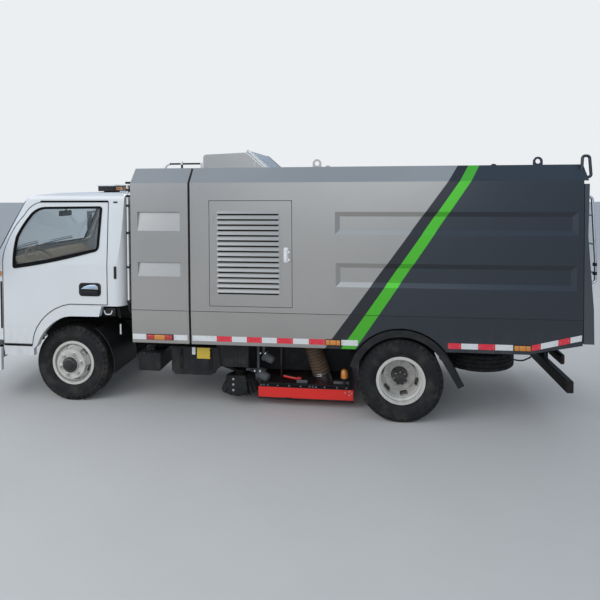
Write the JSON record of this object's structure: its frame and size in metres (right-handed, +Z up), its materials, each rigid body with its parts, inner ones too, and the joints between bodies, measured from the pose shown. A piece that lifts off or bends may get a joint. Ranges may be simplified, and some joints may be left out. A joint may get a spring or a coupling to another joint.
{
  "type": "compact suction street sweeper truck",
  "caption": "Cab-over street sweeper truck with a tilting cab, tipping hopper body, louvred access doors, suction nozzle, hose and swinging side brushes.",
  "frame": {"origin": "on the ground, under the middle of the truck's overall length and width", "axes": "+X forward, +Y to the truck's left, +Z up"},
  "size_m": [6.0898, 2.36, 2.567],
  "materials": {
    "tyre": "matte",
    "rim": "satin silver",
    "chassis": "satin",
    "cab_paint": "gloss",
    "body_paint": "gloss",
    "slate_paint": "gloss",
    "red_paint": "satin",
    "black_plastic": "matte",
    "grey_plastic": "matte",
    "lamp": "clear gloss",
    "glass": "clear",
    "iron": "rough",
    "skirt_rubber": "matte",
    "hose": "matte",
    "bristle": "matte",
    "seat": "woven",
    "bright": "brushed"
  },
  "bodies": {
    "chassis": {"frame_rails": "chassis", "crossmembers": "chassis", "frame_brackets": "chassis", "front_axle": "iron", "rear_axle": "iron", "leaf_springs": "chassis", "engine": "iron", "auxiliary_engine": "iron", "side_tanks": "black_plastic", "battery_box": "black_plastic", "silencer": "bright", "front_bumper": "cab_paint", "lamps": "lamp", "underrun_bar": "chassis", "spare_wheel": "tyre", "mudguards": "black_plastic", "water_cabinet": "body_paint"},
    "cab": {"cab_back": "cab_paint", "cab_floor": "chassis", "cab_front": "cab_paint", "cab_roof": "cab_paint", "cab_sides": "cab_paint", "cab_windows": "glass", "dashboard": "grey_plastic", "grille": "black_plastic", "mirrors": "black_plastic", "seats": "seat"},
    "hopper": {"hopper_sides": "body_paint", "hopper_roof": "body_paint", "hopper_floor": "chassis", "hopper_bulkheads": "body_paint", "air_outlet": "body_paint"},
    "rear_door": {"rear_door": "slate_paint", "ladder": "bright"},
    "cylinder_barrels": {"cylinder_barrels": "chassis"},
    "cylinder_rods": {"cylinder_rods": "bright"},
    "nozzle": {"nozzle_hood": "red_paint", "nozzle_skirt": "skirt_rubber", "suction_hose": "hose"},
    "door_left": {"door_left": "cab_paint", "door_window_left": "glass"},
    "knuckle_left": {"knuckle_left": "iron"},
    "wheel_front_left": {"front_tyre_left": "tyre", "front_rim_left": "rim"},
    "wheel_rear_left": {"rear_tyres_left": "tyre", "rear_rims_left": "rim"},
    "access_door_left": {"access_door_left": "body_paint"},
    "brush_arm_left": {"brush_arm_left": "red_paint"},
    "brush_left": {"brush_left": "bristle"},
    "door_right": {"door_right": "cab_paint", "door_window_right": "glass"},
    "knuckle_right": {"knuckle_right": "iron"},
    "wheel_front_right": {"front_tyre_right": "tyre", "front_rim_right": "rim"},
    "wheel_rear_right": {"rear_tyres_right": "tyre", "rear_rims_right": "rim"},
    "access_door_right": {"access_door_right": "body_paint"},
    "brush_arm_right": {"brush_arm_right": "red_paint"},
    "brush_right": {"brush_right": "bristle"}
  },
  "joints": [
    {"name": "cab_tilt", "type": "hinge", "parent": "chassis", "child": "cab", "pos_m": [2.84, 0, 0.695], "axis": [0, 1, 0], "range_deg": [0, 45]},
    {"name": "hopper_tip", "type": "hinge", "parent": "chassis", "child": "hopper", "pos_m": [-2.73, 0, 0.762], "axis": [0, -1, 0], "range_deg": [0, 45]},
    {"name": "cylinder_swing", "type": "hinge", "parent": "chassis", "child": "cylinder_barrels", "pos_m": [-1.61, 0, 0.64], "axis": [0, -1, 0], "range_deg": [0, 69.07]},
    {"name": "cylinder_stroke", "type": "slide", "parent": "cylinder_barrels", "child": "cylinder_rods", "axis": [0.9926, 0, 0.1217], "range_m": [0, 0.6527]},
    {"name": "rear_door_swing", "type": "hinge", "parent": "hopper", "child": "rear_door", "pos_m": [-2.95, 0, 2.215], "axis": [0, 1, 0], "range_deg": [0, 80]},
    {"name": "nozzle_lift", "type": "slide", "parent": "chassis", "child": "nozzle", "axis": [0, 0, 1], "range_m": [-0.07, 0]},
    {"name": "door_left_swing", "type": "hinge", "parent": "cab", "child": "door_left", "pos_m": [2.665, 0.925, 1.3], "axis": [0, 0, -1], "range_deg": [0, 65]},
    {"name": "steer_left", "type": "hinge", "parent": "chassis", "child": "knuckle_left", "pos_m": [1.998, 0.625, 0.3875], "axis": [0, 0, 1], "range_deg": [-33, 33]},
    {"name": "front_wheel_left_spin", "type": "hinge", "parent": "knuckle_left", "child": "wheel_front_left", "pos_m": [1.998, 0.735, 0.3875], "axis": [0, 1, 0], "continuous": true},
    {"name": "rear_wheels_left_spin", "type": "hinge", "parent": "chassis", "child": "wheel_rear_left", "pos_m": [-1.31, 0.769, 0.3875], "axis": [0, 1, 0], "continuous": true},
    {"name": "access_door_left_swing", "type": "hinge", "parent": "hopper", "child": "access_door_left", "pos_m": [0.482, 1.003, 1.55], "axis": [0, 0, -1], "range_deg": [0, 110]},
    {"name": "brush_arm_left_swing", "type": "hinge", "parent": "chassis", "child": "brush_arm_left", "pos_m": [0.53, 0.42, 0.303], "axis": [0, 0, -1], "range_deg": [0, 45]},
    {"name": "brush_left_spin", "type": "hinge", "parent": "brush_arm_left", "child": "brush_left", "pos_m": [0.29, 0.59, 0.232], "axis": [0, 0, 1], "continuous": true},
    {"name": "door_right_swing", "type": "hinge", "parent": "cab", "child": "door_right", "pos_m": [2.665, -0.925, 1.3], "axis": [0, 0, 1], "range_deg": [0, 65]},
    {"name": "steer_right", "type": "hinge", "parent": "chassis", "child": "knuckle_right", "pos_m": [1.998, -0.625, 0.3875], "axis": [0, 0, 1], "range_deg": [-33, 33]},
    {"name": "front_wheel_right_spin", "type": "hinge", "parent": "knuckle_right", "child": "wheel_front_right", "pos_m": [1.998, -0.735, 0.3875], "axis": [0, 1, 0], "continuous": true},
    {"name": "rear_wheels_right_spin", "type": "hinge", "parent": "chassis", "child": "wheel_rear_right", "pos_m": [-1.31, -0.769, 0.3875], "axis": [0, 1, 0], "continuous": true},
    {"name": "access_door_right_swing", "type": "hinge", "parent": "hopper", "child": "access_door_right", "pos_m": [0.482, -1.003, 1.55], "axis": [0, 0, 1], "range_deg": [0, 110]},
    {"name": "brush_arm_right_swing", "type": "hinge", "parent": "chassis", "child": "brush_arm_right", "pos_m": [0.53, -0.42, 0.303], "axis": [0, 0, 1], "range_deg": [0, 45]},
    {"name": "brush_right_spin", "type": "hinge", "parent": "brush_arm_right", "child": "brush_right", "pos_m": [0.29, -0.59, 0.232], "axis": [0, 0, 1], "continuous": true}
  ],
  "couplings": [
    {"joint": "steer_right", "follows": "steer_left", "ratio": 1},
    {"joint": "cylinder_swing", "follows": "hopper_tip", "ratio": 1.5337},
    {"joint": "cylinder_stroke", "follows": "hopper_tip", "m_per_rad": 0.83044}
  ]
}
